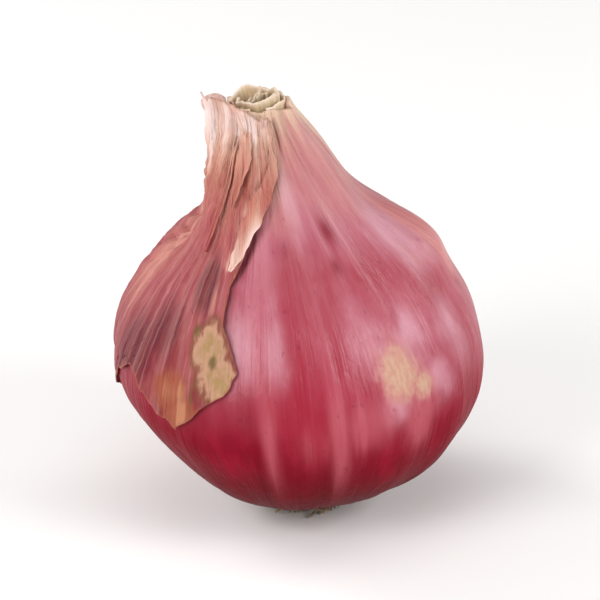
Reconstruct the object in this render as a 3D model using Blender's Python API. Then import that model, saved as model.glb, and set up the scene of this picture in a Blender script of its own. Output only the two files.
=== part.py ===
"""A small red onion that stands on its root plate, with its neck up.

The bulb is a turned form that leans at the neck, with lobes and lengthwise ribs. A dry outer
skin is torn open down the front and wraps the left side and the back. Rolled dry leaf ends
stand in the neck, and a root plate with short trimmed roots sits under the bulb.

Angles go round the bulb in degrees: 0 faces -Y and 90 faces +X. A level says how far up the
bulb a point is: -1 at the rim round the root plate, 0 at the widest place, 1 at the neck's end.
"""

import math
import random

import bpy
import numpy as np

MM = 0.001

# Bulb
BULB_RADIUS = 20.6 * MM
EQUATOR_HEIGHT = 17.0 * MM
LOWER_HEIGHT = 16.5 * MM
LOWER_POWER = 1.08
RIM_RADIUS = 5.0 * MM
NECK_RADIUS = 3.3 * MM
NECK_FORM_HEIGHT = 48.5 * MM
LIP_HEIGHT = 45.5 * MM
LIP_RAGGED = 1.0 * MM
SHOULDER_POWER = 2.35
NECK_LEAN = (-5.2 * MM, 0.8 * MM)
LEAN_POWER = 1.75
# The shoulder is fuller on +X and slighter on -X, where the bulb is flatter low down and hollow
# below the neck
FULL_SHOULDER = 0.075
SHOULDER_HEIGHT = 29.0 * MM
SHOULDER_REACH = 8.0 * MM
FLAT_FLANK = 0.25
FLANK_ANGLE = -95
FLANK_HALF_WIDTH = 44
FLANK_HEIGHT = 5.5 * MM
FLANK_REACH = 7.6 * MM
NECK_HOLLOW = 0.17
HOLLOW_HEIGHT = 37.0 * MM
HOLLOW_REACH = 5.0 * MM
# Waves round the bulb, each as count, size and phase; a lobe's size is a share of the radius
LOBES = ((2, 0.014, 0.7), (3, 0.009, 2.3), (5, 0.004, 4.1))
RIBS = ((7, 0.06 * MM, 1.3), (11, 0.09 * MM, 0.4), (16, 0.10 * MM, 2.2))
NECK_FOLDS = ((5, 0.20 * MM, 0.9), (8, 0.18 * MM, 2.6), (12, 0.10 * MM, 5.0))

# Hollows that the other pieces sit in
PIECE_GAP = 0.35 * MM
RECESS_RADIUS = 4.7 * MM
RECESS_ROOF = 2.4 * MM
SOCKET_RADIUS = 2.5 * MM
SOCKET_MOUTH_RADIUS = 2.6 * MM
SOCKET_FLOOR = 40.5 * MM

# Dry outer skin
SKIN_THICKNESS = 0.6 * MM
SKIN_EDGE_CURL = 0.45 * MM
SKIN_EDGE_WIDTH = 0.07
EDGE_RAGGED_HEIGHT = 0.5
EDGE_RAGGED_ANGLE = 1.2
FLAP_ANGLE = -100
FLAP_HALF_WIDTH = 38
FLAP_LIFT = 2.2 * MM
# Torn edges: the front and back ones as (height in mm, angle), the others as (angle, height in mm)
FRONT_TEAR = (
    (16.4, -40), (18.4, -34), (21.2, -27), (24.3, -22), (27.0, -27),
    (30.5, -28), (34.0, -19), (38.0, -9), (41.2, 6), (44.5, 15),
)
BACK_TEAR = (
    (2.6, -196), (9.0, -207), (16.0, -219), (22.0, -214),
    (28.0, -226), (34.0, -213), (40.0, -204), (44.5, -210),
)
LOWER_TEAR = (
    (-40, 16.2), (-48, 17.6), (-56, 20.2), (-66, 19.4), (-78, 15.4),
    (-90, 11.6), (-103, 6.6), (-118, 3.9), (-140, 2.9), (-230, 2.6),
)
UPPER_TEAR = (
    (-40, 43.8), (-58, 44.0), (-76, 45.2), (-100, 46.2), (-124, 45.0),
    (-143, 42.4), (-156, 36.0), (-166, 42.0), (-180, 43.6), (-230, 41.6),
)

# Root plate and roots
PLATE_RADIUS = 4.3 * MM
PLATE_SEGMENTS = 40
PLATE_TOP = RECESS_ROOF - PIECE_GAP
FOOT_RADIUS = 3.9 * MM
ROOT_COUNT = 24
ROOT_RADIUS = 0.38 * MM
ROOT_LENGTHS = (1.1 * MM, 2.3 * MM)
ROOT_BURIED = 1.0 * MM
ROOT_STEPS = 3
ROOT_SIDES = 5

# Rolled dry leaf ends
ROLL_TURNS = 1.8
ROLL_START = 40
ROLL_FOOT = SOCKET_FLOOR + 2.0 * MM
ROLL_INNER_RADIUS = 0.5 * MM
ROLL_OUTER_RADIUS = 2.05 * MM
ROLL_FLARE = 1.25
ROLL_WALL = 0.6 * MM
ROLL_TOP = 47.6 * MM
PLUG_RADIUS = SOCKET_RADIUS - PIECE_GAP

# Faces
BULB_SEGMENTS = 64
LOWER_RINGS = 11
UPPER_RINGS = 20
SKIN_COLUMNS = 36
SKIN_ROWS = 26
ROLL_STEPS = 32

LOWER_END = math.acos((RIM_RADIUS / BULB_RADIUS) ** (1 / LOWER_POWER))


def clear_scene():
    for obj in list(bpy.data.objects):
        bpy.data.objects.remove(obj)


def material(name, colour, roughness):
    made = bpy.data.materials.new(name)
    made.use_nodes = True
    shader = made.node_tree.nodes["Principled BSDF"]
    shader.inputs["Base Color"].default_value = (*colour, 1.0)
    shader.inputs["Roughness"].default_value = roughness
    shader.inputs["Metallic"].default_value = 0.0
    return made


def add_object(name, points, faces, finish=None):
    mesh = bpy.data.meshes.new(name)
    mesh.from_pydata([tuple(p) for p in points], [], faces)
    mesh.shade_smooth()
    mesh.set_sharp_from_angle(angle=math.radians(50))
    if finish:
        mesh.materials.append(finish)
    obj = bpy.data.objects.new(name, mesh)
    bpy.context.scene.collection.objects.link(obj)
    return obj


def hump(x, centre, half_width):
    return np.exp(-(((x - centre) / half_width) ** 2))


def smooth_step(x, low, high):
    share = np.clip((x - low) / (high - low), 0, 1)
    return share * share * (3 - 2 * share)


def angle_between(angle, centre):
    """The signed difference of two angles in degrees, from -180 to 180."""
    return (angle - centre + 180) % 360 - 180


def axis_at(height):
    """Where the bulb's axis is at a height. It leans more and more towards the neck."""
    share = np.clip(height / NECK_FORM_HEIGHT, 0, None) ** LEAN_POWER
    return NECK_LEAN[0] * share, NECK_LEAN[1] * share


def level_of(height):
    """The level at a height on the bulb."""
    height = np.asarray(height, float)
    lower = -np.arcsin(np.clip((EQUATOR_HEIGHT - height) / LOWER_HEIGHT, 0, 1)) / LOWER_END
    upper = (height - EQUATOR_HEIGHT) / (LIP_HEIGHT - EQUATOR_HEIGHT)
    return np.where(height < EQUATOR_HEIGHT, np.maximum(lower, -1), upper)


def turned_profile(level):
    """Radius and height at a level: a tapered ellipse below the widest place, a swept shoulder above."""
    level = np.asarray(level, float)
    turn = np.clip(-level, 0, 1) * LOWER_END
    lower_radius = BULB_RADIUS * np.cos(turn) ** LOWER_POWER
    lower_height = EQUATOR_HEIGHT - LOWER_HEIGHT * np.sin(turn)
    rise = np.clip(level, 0, 1.05) * (LIP_HEIGHT - EQUATOR_HEIGHT)
    share = np.clip(rise / (NECK_FORM_HEIGHT - EQUATOR_HEIGHT), 0, 1)
    upper_radius = NECK_RADIUS + (BULB_RADIUS - NECK_RADIUS) * (1 - share**2) ** SHOULDER_POWER
    below = level < 0
    radius = np.where(below, lower_radius, upper_radius)
    return radius, np.where(below, lower_height, EQUATOR_HEIGHT + rise)


def waves(angle, parts):
    """A sum of cosines round the bulb, each given as count, size and phase."""
    turn = np.radians(angle)
    return sum(size * np.cos(count * turn + phase) for count, size, phase in parts)


def bulb_point(angle, level):
    """A point on the bulb's outside, as an array whose last side is x, y, z."""
    angle, level = np.broadcast_arrays(np.asarray(angle, float), np.asarray(level, float))
    radius, height = turned_profile(level)
    body = radius / BULB_RADIUS
    shoulder = np.sin(np.radians(angle)) * hump(height, SHOULDER_HEIGHT, SHOULDER_REACH)
    flank = FLAT_FLANK * hump(height, FLANK_HEIGHT, FLANK_REACH) * smooth_step(level, -1, -0.75)
    flank = flank + NECK_HOLLOW * hump(height, HOLLOW_HEIGHT, HOLLOW_REACH)
    flank = flank * hump(angle_between(angle, FLANK_ANGLE), 0, FLANK_HALF_WIDTH)
    radius = radius * (1 + waves(angle, LOBES) * body + FULL_SHOULDER * shoulder - flank)
    fade_at_rim = smooth_step(level, -1, -0.55)
    radius = radius + waves(angle, RIBS) * fade_at_rim * smooth_step(body, 0.2, 0.6)
    radius = radius + waves(angle, NECK_FOLDS) * (1 - smooth_step(body, 0.3, 0.75)) * (level > 0)
    across, along = axis_at(height)
    turn = np.radians(angle)
    return np.stack([across + radius * np.sin(turn), along - radius * np.cos(turn), height], -1)


def bulb_normal(angle, level):
    """The outward direction at a point of the bulb, from small steps along angle and level."""
    step_angle, step_level = 0.5, 0.004
    level = np.clip(level, -1 + step_level, 1)
    round_it = bulb_point(angle + step_angle, level) - bulb_point(angle - step_angle, level)
    up_it = bulb_point(angle, level + step_level) - bulb_point(angle, level - step_level)
    normal = np.cross(round_it, up_it)
    return normal / np.linalg.norm(normal, axis=-1, keepdims=True)


def circle_ring(radius, height, segments, ripple=0.0):
    """A ring round the leaning axis. A ripple makes its height rise and fall, as a torn edge does."""
    angle = np.linspace(0, 360, segments, endpoint=False)
    turn = np.radians(angle)
    heights = height + ripple * waves(angle, ((3, 0.6, 0.5), (7, 0.3, 1.9), (11, 0.2, 3.0)))
    across, along = axis_at(heights)
    return np.stack([across + radius * np.sin(turn), along - radius * np.cos(turn), heights], -1)


def lofted(name, rings, finish):
    """A closed solid through rings with the same number of points, with its two ends capped flat.

    The rings go from the bottom of the outside, up it and down inside, seen on a cut."""
    count = len(rings[0])
    points = np.concatenate(rings)
    faces = []
    for ring in range(len(rings) - 1):
        low, high = ring * count, (ring + 1) * count
        for i in range(count):
            following = (i + 1) % count
            faces.append((low + i, low + following, high + following, high + i))
    faces.append(tuple(reversed(range(count))))
    last = (len(rings) - 1) * count
    faces.append(tuple(range(last, last + count)))
    return add_object(name, points, faces, finish)


def build_bulb(finish):
    """The bulb: a recess for the root plate, the outside, the torn lip of the neck, and its socket."""
    angle = np.linspace(0, 360, BULB_SEGMENTS, endpoint=False)
    levels = np.concatenate(
        [np.linspace(-1, 0, LOWER_RINGS, endpoint=False), np.linspace(0, 1, UPPER_RINGS + 1)]
    )
    outside = [bulb_point(angle, level) for level in levels]
    torn = circle_ring(0, 0, BULB_SEGMENTS, LIP_RAGGED)[:, 2]
    for ring, share in zip(outside[-3:], (0.25, 0.6, 1.0)):
        ring[:, 2] += share * torn
    lip_inside = circle_ring(SOCKET_MOUTH_RADIUS, LIP_HEIGHT, BULB_SEGMENTS, LIP_RAGGED)
    rings = [
        circle_ring(RECESS_RADIUS, RECESS_ROOF, BULB_SEGMENTS),
        circle_ring(RECESS_RADIUS, turned_profile(-1)[1] + 0.15 * MM, BULB_SEGMENTS),
        *outside,
        lip_inside,
        circle_ring(SOCKET_RADIUS, LIP_HEIGHT - 2.5 * MM, BULB_SEGMENTS),
        circle_ring(SOCKET_RADIUS, SOCKET_FLOOR, BULB_SEGMENTS),
    ]
    return lofted("bulb", rings, finish)


def along_edge(edge, where):
    """The value of a torn edge at a place, straight between its points."""
    ordered = sorted(edge)
    return np.interp(where, [p[0] for p in ordered], [p[1] for p in ordered])


def ragged(rng, count, size):
    """Small steps out and in along a torn edge."""
    return np.array([rng.uniform(-size, size) for _ in range(count)])


def skin_lift(angle, level, from_edge):
    """How far the dry skin stands off the bulb: a gap, a curl at torn edges, and a flap at the neck."""
    flap = hump(angle_between(angle, FLAP_ANGLE), 0, FLAP_HALF_WIDTH) * smooth_step(level, 0.72, 1.0)
    curl = (1 - smooth_step(from_edge, 0, SKIN_EDGE_WIDTH)) * smooth_step(level, -0.8, -0.4)
    return PIECE_GAP + SKIN_EDGE_CURL * curl + FLAP_LIFT * flap


def build_outer_skin(finish):
    """The dry skin: a grid between four torn edges over the bulb, given its thickness outwards."""
    rng = random.Random(11)
    across = np.linspace(0, 1, SKIN_COLUMNS + 1)[None, :]
    up = np.linspace(0, 1, SKIN_ROWS + 1)[:, None]
    ragged_columns = ragged(rng, SKIN_COLUMNS + 1, EDGE_RAGGED_HEIGHT)[None, :]
    ragged_rows = ragged(rng, SKIN_ROWS + 1, EDGE_RAGGED_ANGLE)[:, None]
    nominal = FRONT_TEAR[0][1] + (BACK_TEAR[-1][1] - FRONT_TEAR[0][1]) * across
    lowest = level_of((along_edge(LOWER_TEAR, nominal) + ragged_columns * hump(nominal, -65, 45)) * MM)
    highest = level_of((along_edge(UPPER_TEAR, nominal) + ragged_columns) * MM)
    level = lowest + (highest - lowest) * up
    height = turned_profile(level)[1] / MM
    front = along_edge(FRONT_TEAR, height) + ragged_rows
    back = along_edge(BACK_TEAR, height) - ragged_rows
    angle = front + (back - front) * across
    from_edge = np.minimum(np.minimum(across, 1 - across), 0.6 * np.minimum(up, 1 - up))
    lift = skin_lift(angle, level, from_edge)
    points = bulb_point(angle, level) + bulb_normal(angle, level) * lift[..., None]
    columns = SKIN_COLUMNS + 1
    faces = []
    for row in range(SKIN_ROWS):
        for i in range(row * columns, row * columns + SKIN_COLUMNS):
            faces.append((i, i + columns, i + columns + 1, i + 1))
    skin = add_object("outer_skin", points.reshape(-1, 3), faces, finish)
    wall = skin.modifiers.new("wall", "SOLIDIFY")
    wall.thickness = SKIN_THICKNESS
    wall.offset = 1
    return skin


def join(name, pieces, finish):
    """One solid made of overlapping pieces."""
    first, *others = pieces
    group = bpy.data.collections.new(name + "_pieces")
    bpy.context.scene.collection.children.link(group)
    for piece in others:
        bpy.context.scene.collection.objects.unlink(piece)
        group.objects.link(piece)
    union = first.modifiers.new("union", "BOOLEAN")
    union.operation = "UNION"
    union.operand_type = "COLLECTION"
    union.collection = group
    bpy.context.view_layer.update()
    graph = bpy.context.evaluated_depsgraph_get()
    mesh = bpy.data.meshes.new_from_object(first.evaluated_get(graph))
    for piece in pieces:
        bpy.data.objects.remove(piece)
    bpy.data.collections.remove(group)
    mesh.name = name
    mesh.materials.clear()
    mesh.materials.append(finish)
    joined = bpy.data.objects.new(name, mesh)
    bpy.context.scene.collection.objects.link(joined)
    return joined


def root(number, rng):
    """One trimmed root: it leaves the plate's side near the ground, runs outwards and thins."""
    turn = 2 * math.pi * (number + rng.uniform(-0.25, 0.25)) / ROOT_COUNT
    length = rng.uniform(*ROOT_LENGTHS)
    start_height = rng.uniform(0.5, 0.62) * MM
    end_height = rng.uniform(0.45, 0.8) * MM
    sweep = rng.uniform(-0.35, 0.35)
    rings = []
    for step in range(ROOT_STEPS + 1):
        share = step / ROOT_STEPS
        reach = PLATE_RADIUS - ROOT_BURIED + (length + 0.4 * MM) * share
        heading = turn + sweep * share * share
        height = start_height + (end_height - start_height) * share
        centre = np.array([reach * math.sin(heading), -reach * math.cos(heading), height])
        side = np.array([math.cos(heading), math.sin(heading), 0])
        up = np.array([0, 0, 1])
        size = ROOT_RADIUS * (1 - 0.3 * share)
        ring = [
            centre + size * (math.cos(spin) * side + math.sin(spin) * up)
            for spin in np.linspace(0, 2 * math.pi, ROOT_SIDES, endpoint=False)
        ]
        rings.append(np.array(ring))
    return lofted(f"root_{number}", rings, None)


def build_root_plate(finish):
    """The root plate: a low disc with a flat foot, and the trimmed roots round its side."""
    rng = random.Random(5)
    rings = [
        circle_ring(FOOT_RADIUS, 0.0, PLATE_SEGMENTS),
        circle_ring(PLATE_RADIUS, 0.5 * MM, PLATE_SEGMENTS),
        circle_ring(PLATE_RADIUS, PLATE_TOP - 0.3 * MM, PLATE_SEGMENTS),
        circle_ring(PLATE_RADIUS - 0.4 * MM, PLATE_TOP, PLATE_SEGMENTS),
    ]
    plate = lofted("plate", rings, None)
    roots = [root(number, rng) for number in range(ROOT_COUNT)]
    return join("root_plate", [plate, *roots], finish)


def build_neck_leaves(finish):
    """The dry leaf ends: a leaf rolled round itself, flaring and torn at the top, on a plug."""
    turns = np.linspace(0, 1, ROLL_STEPS + 1)
    angle = 360 * ROLL_TURNS * turns + ROLL_START
    radius = ROLL_INNER_RADIUS + (ROLL_OUTER_RADIUS - ROLL_INNER_RADIUS) * turns
    torn = np.sin(5.1 * turns * math.pi + 0.6) + 0.5 * np.sin(13 * turns * math.pi)
    torn = 1.1 * MM * torn - 0.8 * MM
    shares = (0.0, 0.45, 0.75, 1.0)
    walls = []
    for side in (-0.5, 0.5):
        for share in shares:
            height = ROLL_FOOT + (ROLL_TOP + torn - ROLL_FOOT) * share
            flare = 1 + (ROLL_FLARE - 1) * smooth_step(height / MM, 44.5, 48)
            reach = (radius + side * ROLL_WALL) * flare
            across, along = axis_at(height)
            turn = np.radians(angle)
            wall = [across + reach * np.sin(turn), along - reach * np.cos(turn), height]
            walls.append(np.stack(wall, -1))
    inner, outer = walls[: len(shares)], walls[len(shares) :]
    loop = (*outer, *reversed(inner))
    section = [np.stack([row[i] for row in loop]) for i in range(ROLL_STEPS + 1)]
    roll = lofted("roll", section, None)
    plug_foot = SOCKET_FLOOR + PIECE_GAP
    plug_rings = [circle_ring(PLUG_RADIUS, plug_foot + rise * MM, 28) for rise in (0, 1.4, 2.8)]
    plug = lofted("plug", plug_rings, None)
    return join("neck_leaves", [plug, roll], finish)


def main():
    clear_scene()
    build_bulb(material("red_bulb_skin", (0.43, 0.05, 0.09), 0.35))
    build_outer_skin(material("dry_outer_skin", (0.48, 0.14, 0.12), 0.5))
    build_neck_leaves(material("dry_leaf_ends", (0.66, 0.5, 0.33), 0.7))
    build_root_plate(material("dry_roots", (0.5, 0.38, 0.2), 0.8))


main()
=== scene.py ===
"""The looks of a small red onion that stands on its root plate with its neck up.

The bulb, its torn dry skin, the dry leaf ends in the neck and the root plate are surfaces worked
out on grids, on the same turned form as the solids they replace.

Angles go round the bulb in degrees: 0 faces -Y and 90 faces +X. A level says how far up the
bulb a point is: -1 at the rim round the root plate, 0 at the widest place, 1 at the neck's end.
"""

import math

import bpy
import numpy as np
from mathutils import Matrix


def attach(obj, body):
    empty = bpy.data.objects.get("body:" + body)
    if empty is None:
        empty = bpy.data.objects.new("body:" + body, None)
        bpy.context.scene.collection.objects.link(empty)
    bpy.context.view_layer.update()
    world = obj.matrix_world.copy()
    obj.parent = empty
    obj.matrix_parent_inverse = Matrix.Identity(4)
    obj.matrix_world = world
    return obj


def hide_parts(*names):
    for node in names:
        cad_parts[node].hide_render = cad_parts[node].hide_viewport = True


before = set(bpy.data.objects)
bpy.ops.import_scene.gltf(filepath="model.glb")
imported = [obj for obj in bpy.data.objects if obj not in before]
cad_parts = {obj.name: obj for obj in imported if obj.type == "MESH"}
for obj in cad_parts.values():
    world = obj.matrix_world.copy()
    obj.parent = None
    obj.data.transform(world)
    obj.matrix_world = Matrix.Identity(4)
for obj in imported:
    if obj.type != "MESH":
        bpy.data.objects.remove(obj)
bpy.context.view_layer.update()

MM = 0.001

# The bulb's form
BULB_RADIUS = 20.6 * MM
EQUATOR_HEIGHT = 17.0 * MM
LOWER_HEIGHT = 16.5 * MM
LOWER_POWER = 1.08
RIM_RADIUS = 5.0 * MM
NECK_RADIUS = 3.3 * MM
NECK_FORM_HEIGHT = 48.5 * MM
LIP_HEIGHT = 45.5 * MM
SHOULDER_POWER = 2.35
NECK_LEAN = (-5.2 * MM, 0.8 * MM)
LEAN_POWER = 1.75
# The shoulder is fuller on +X and slighter on -X, where the bulb is flatter low down and hollow
# below the neck
FULL_SHOULDER = 0.075
SHOULDER_HEIGHT = 29.0 * MM
SHOULDER_REACH = 8.0 * MM
FLAT_FLANK = 0.29
FLANK_ANGLE = -95
FLANK_HALF_WIDTH = 44
FLANK_HEIGHT = 5.5 * MM
FLANK_REACH = 7.6 * MM
NECK_HOLLOW = 0.28
HOLLOW_HEIGHT = 34.0 * MM
HOLLOW_REACH = 4.5 * MM
# Fuller places on +X, each as angle, height in mm, reach in degrees, reach in mm and size in mm
FULLER_PLACES = ((95, 42.0, 50, 4.5, 1.4), (98, 31.0, 32, 3.1, 1.9))
# Waves round the bulb, each as count, size and phase; a lobe's size is a share of the radius
LOBES = ((2, 0.014, 0.7), (3, 0.009, 2.3), (5, 0.004, 4.1))
RIBS = ((7, 0.06 * MM, 1.3), (11, 0.09 * MM, 0.4), (16, 0.10 * MM, 2.2))
NECK_FOLDS = ((5, 0.20 * MM, 0.9), (8, 0.18 * MM, 2.6), (12, 0.10 * MM, 5.0))
LOWER_END = math.acos((RIM_RADIUS / BULB_RADIUS) ** (1 / LOWER_POWER))
# The highest level that the profile is worked out for
TOP_LEVEL = 1.09

# Hollows that the other pieces sit in. The recess's rings are shares of its radius, and the
# socket's are (share of its radius, height in mm), from its mouth down
RECESS_RADIUS = 4.7 * MM
RECESS_ROOF = 2.4 * MM
RECESS_RINGS = (0.3, 0.8, 1.0)
SOCKET_RADIUS = 2.5 * MM
SOCKET_RINGS = ((1.05, 43.5), (1.0, 42.0), (1.0, 40.6), (0.8, 40.5), (0.3, 40.5))

# Fine relief of the bulb. A vein's half width and wander are in degrees
VEIN_COUNT = 46
VEIN_HEIGHT = 0.045 * MM
VEIN_HALF_WIDTH = 1.3
VEIN_WANDER = 1.6
VEIN_SEED = 3
DENT_SIZE = 11.0 * MM
DENT_DEPTH = 0.10 * MM
PLEAT_COUNT = 17
PLEAT_DEPTH = 0.22 * MM
LIP_LEVEL = 1.05
LIP_RAGGED = 0.6 * MM

# Dry outer skin. Its edges curl away from the bulb, less so below the neck, between two heights
# in mm
SKIN_THICKNESS = 0.13 * MM
SKIN_GAP = 0.16 * MM
SKIN_EDGE_CURL = 0.55 * MM
SKIN_EDGE_WIDTH = 1.4 * MM
LOW_CURL = 0.6
CURL_HEIGHTS = (29, 34)
# Its crumples, each as length in mm, share and seed, and their depth, which grows to the neck
CRUMPLES = ((6.5, 1.0, 32), (2.4, 0.6, 33), (1.3, 0.45, 34))
CRUMPLE_DEPTH = 0.07 * MM
CRUMPLE_GROWTH = 0.10 * MM
CRUMPLE_ROUNDING = 0.03 * MM
# The loose flap at the neck
FLAP_ANGLE = -100
FLAP_HALF_WIDTH = 38
FLAP_LIFT = 2.2 * MM
# Frill where the loose skin puckers along its left side, with its spacing and the heights that it
# starts and ends over, in mm
FRILL_ANGLE = -102
FRILL_HALF_WIDTH = 24
FRILL_SIZE = 0.55 * MM
FRILL_SPACING = 2.1
FRILL_HEIGHTS = ((25, 30), (37, 41))
# The pale edge that is turned over beside the tear: how far in it lies, its half width and the
# heights that it starts and ends over, in mm
TURNED_INSET = 0.7
TURNED_HALF_WIDTH = 0.9
TURNED_HEIGHTS = ((31, 33), (35, 42))
# Torn edges: the front and back ones as (height in mm, angle), the others as (angle, height in mm)
FRONT_TEAR = (
    (16.2, -37), (17.8, -31), (19.4, -26.5), (21.0, -20.5), (22.8, -17.5), (24.6, -19), (27.0, -23),
    (30.3, -23), (33.8, -16), (36.5, -11), (38.8, -2), (41.2, 13), (44.5, 24),
)
BACK_TEAR = (
    (2.6, -196), (9.0, -207), (16.0, -219), (22.0, -214),
    (28.0, -226), (34.0, -213), (40.0, -204), (44.5, -210),
)
LOWER_TEAR = (
    (-37, 16.2), (-48, 17.6), (-56, 20.2), (-66, 19.4), (-78, 15.4),
    (-90, 11.6), (-103, 6.6), (-118, 3.9), (-140, 2.9), (-230, 2.6),
)
UPPER_TEAR = (
    (-37, 46.0), (-54, 46.6), (-72, 47.9), (-100, 48.0), (-126, 47.6),
    (-144, 45.6), (-158, 37.0), (-168, 42.0), (-180, 43.6), (-230, 41.6),
)
# How ragged the edges are, each as spacing and size: in mm and degrees at the front and back, in
# degrees and mm at the others and at the leaf ends' tops
FRONT_FRAY = ((4.5, 1.3), (1.7, 0.7), (0.5, 0.25))
BACK_FRAY = ((3.2, 2.2), (1.1, 1.2), (0.4, 0.6))
LOWER_FRAY = ((6, 0.55), (2.2, 0.30), (0.8, 0.16))
UPPER_FRAY = ((7, 0.5), (2.3, 0.15))
LEAF_END_FRAY = ((60, 0.5), (23, 0.25), (7, 0.08))

# Strips of dry skin that hang from the neck, each as its route of (angle, height in mm), widest
# half width in mm, how high it lies over the bulb in mm, how much more its end stands off in mm
# and how pale its end is
STRIPS = (
    (((14, 43.6), (5, 40.8), (-7, 38.4), (-15, 35.6), (-20, 33.2), (-23, 31.6)), 0.95, 0.85, 0.45, 0.9),
    (((-34, 44.8), (-38, 41.5), (-40, 37.5), (-42, 32.5)), 0.50, 0.62, 0.12, 0.1),
    (((-18, 45.0), (-21, 42.5), (-27, 37.3)), 0.40, 0.75, 0.15, 0.3),
    (((150, 45.0), (154, 41.0), (156, 36.5)), 0.70, 0.85, 0.40, 0.4),
)
# How high a strip's upper end lies over the bulb in mm, before it rises to its own height
STRIP_START = 0.30

# Rolled dry leaf ends from the outside in, each as radius in mm, start angle, sweep, top in mm and
# flare, and the height of their lower ends in mm
LEAF_ENDS = (
    (2.85, 20, 325, 47.3, 1.06),
    (2.05, -110, 280, 47.5, 1.10),
    (1.25, 100, 250, 47.0, 1.15),
    (0.55, 10, 230, 47.4, 1.20),
)
LEAF_END_FOOT = 41.2
LEAF_END_THICKNESS = 0.24 * MM

# Root plate and roots. The plate's outline runs from the middle of its foot out, up and in again,
# as (share of the foot's radius, height in mm)
PLATE_RADIUS = 4.3 * MM
FOOT_RADIUS = 3.9 * MM
PLATE_OUTLINE = (
    (0.2, 0.25), (0.5, 0.12), (0.8, 0.03), (1.0, 0.0), (1.05, 0.15), (1.10, 0.5),
    (1.10, 1.4), (1.04, 1.9), (0.8, 2.05), (0.2, 2.05),
)
ROOT_COUNT = 84

# Grids
BULB_COLUMNS = 430
LOWER_ROWS = 62
UPPER_ROWS = 124
SKIN_COLUMNS = 250
SKIN_ROWS = 180
STRIP_COLUMNS = 13
STRIP_ROWS = 60
LEAF_END_COLUMNS = 110
LEAF_END_ROWS = 44
PLATE_COLUMNS = 96
ROOT_SIDES = 6
ROOT_RINGS = 7


def hump(x, centre, half_width):
    """A bell curve: 1 at the centre, and 1/e at a half width from it."""
    return np.exp(-(((x - centre) / half_width) ** 2))


def smooth_step(x, low, high):
    """A smooth rise from 0 at low to 1 at high."""
    share = np.clip((x - low) / (high - low), 0, 1)
    return share * share * (3 - 2 * share)


def between(x, ends):
    """A smooth rise from 0 to 1 and fall back to 0, each over its own two limits."""
    rise, fall = ends
    return smooth_step(x, *rise) * (1 - smooth_step(x, *fall))


def angle_between(angle, centre):
    """The signed difference of two angles in degrees, from -180 to 180."""
    return (angle - centre + 180) % 360 - 180


def axis_at(height):
    """Where the bulb's axis is at a height. It leans more and more towards the neck."""
    share = np.clip(height / NECK_FORM_HEIGHT, 0, None) ** LEAN_POWER
    return NECK_LEAN[0] * share, NECK_LEAN[1] * share


def level_of(height):
    """The level at a height on the bulb."""
    height = np.asarray(height, float)
    lower = -np.arcsin(np.clip((EQUATOR_HEIGHT - height) / LOWER_HEIGHT, 0, 1)) / LOWER_END
    upper = (height - EQUATOR_HEIGHT) / (LIP_HEIGHT - EQUATOR_HEIGHT)
    return np.where(height < EQUATOR_HEIGHT, np.maximum(lower, -1), upper)


def turned_profile(level):
    """Radius and height at a level: a tapered ellipse below the widest place, a swept shoulder above."""
    level = np.asarray(level, float)
    turn = np.clip(-level, 0, 1) * LOWER_END
    lower_radius = BULB_RADIUS * np.cos(turn) ** LOWER_POWER
    lower_height = EQUATOR_HEIGHT - LOWER_HEIGHT * np.sin(turn)
    rise = np.clip(level, 0, TOP_LEVEL) * (LIP_HEIGHT - EQUATOR_HEIGHT)
    share = np.clip(rise / (NECK_FORM_HEIGHT - EQUATOR_HEIGHT), 0, 1)
    upper_radius = NECK_RADIUS + (BULB_RADIUS - NECK_RADIUS) * (1 - share**2) ** SHOULDER_POWER
    below = level < 0
    radius = np.where(below, lower_radius, upper_radius)
    return radius, np.where(below, lower_height, EQUATOR_HEIGHT + rise)


def waves(angle, parts):
    """A sum of cosines round the bulb, each given as count, size and phase."""
    turn = np.radians(angle)
    return sum(size * np.cos(count * turn + phase) for count, size, phase in parts)


def bulb_point(angle, level):
    """A point on the bulb's smooth form: the turned profile on the leaning axis, with lobes and ribs."""
    angle, level = np.broadcast_arrays(np.asarray(angle, float), np.asarray(level, float))
    radius, height = turned_profile(level)
    body = radius / BULB_RADIUS
    shoulder = np.sin(np.radians(angle)) * hump(height, SHOULDER_HEIGHT, SHOULDER_REACH)
    flank = FLAT_FLANK * hump(height, FLANK_HEIGHT, FLANK_REACH) * smooth_step(level, -1, -0.75)
    flank = flank + NECK_HOLLOW * hump(height, HOLLOW_HEIGHT, HOLLOW_REACH)
    flank = flank * hump(angle_between(angle, FLANK_ANGLE), 0, FLANK_HALF_WIDTH)
    radius = radius * (1 + waves(angle, LOBES) * body + FULL_SHOULDER * shoulder - flank)
    fade_at_rim = smooth_step(level, -1, -0.55)
    for centre, middle, reach, rise, size in FULLER_PLACES:
        place = hump(angle_between(angle, centre), 0, reach) * hump(height / MM, middle, rise)
        radius = radius + size * MM * place
    radius = radius + waves(angle, RIBS) * fade_at_rim * smooth_step(body, 0.2, 0.6)
    radius = radius + waves(angle, NECK_FOLDS) * (1 - smooth_step(body, 0.3, 0.75)) * (level > 0)
    across, along = axis_at(height)
    turn = np.radians(angle)
    return np.stack([across + radius * np.sin(turn), along - radius * np.cos(turn), height], -1)


def bulb_normal(angle, level):
    """The outward direction at a point of the bulb, from small steps along angle and level."""
    step_angle, step_level = 0.5, 0.004
    level = np.clip(level, -1 + step_level, 1)
    round_it = bulb_point(angle + step_angle, level) - bulb_point(angle - step_angle, level)
    up_it = bulb_point(angle, level + step_level) - bulb_point(angle, level - step_level)
    normal = np.cross(round_it, up_it)
    return normal / np.linalg.norm(normal, axis=-1, keepdims=True)


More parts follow.
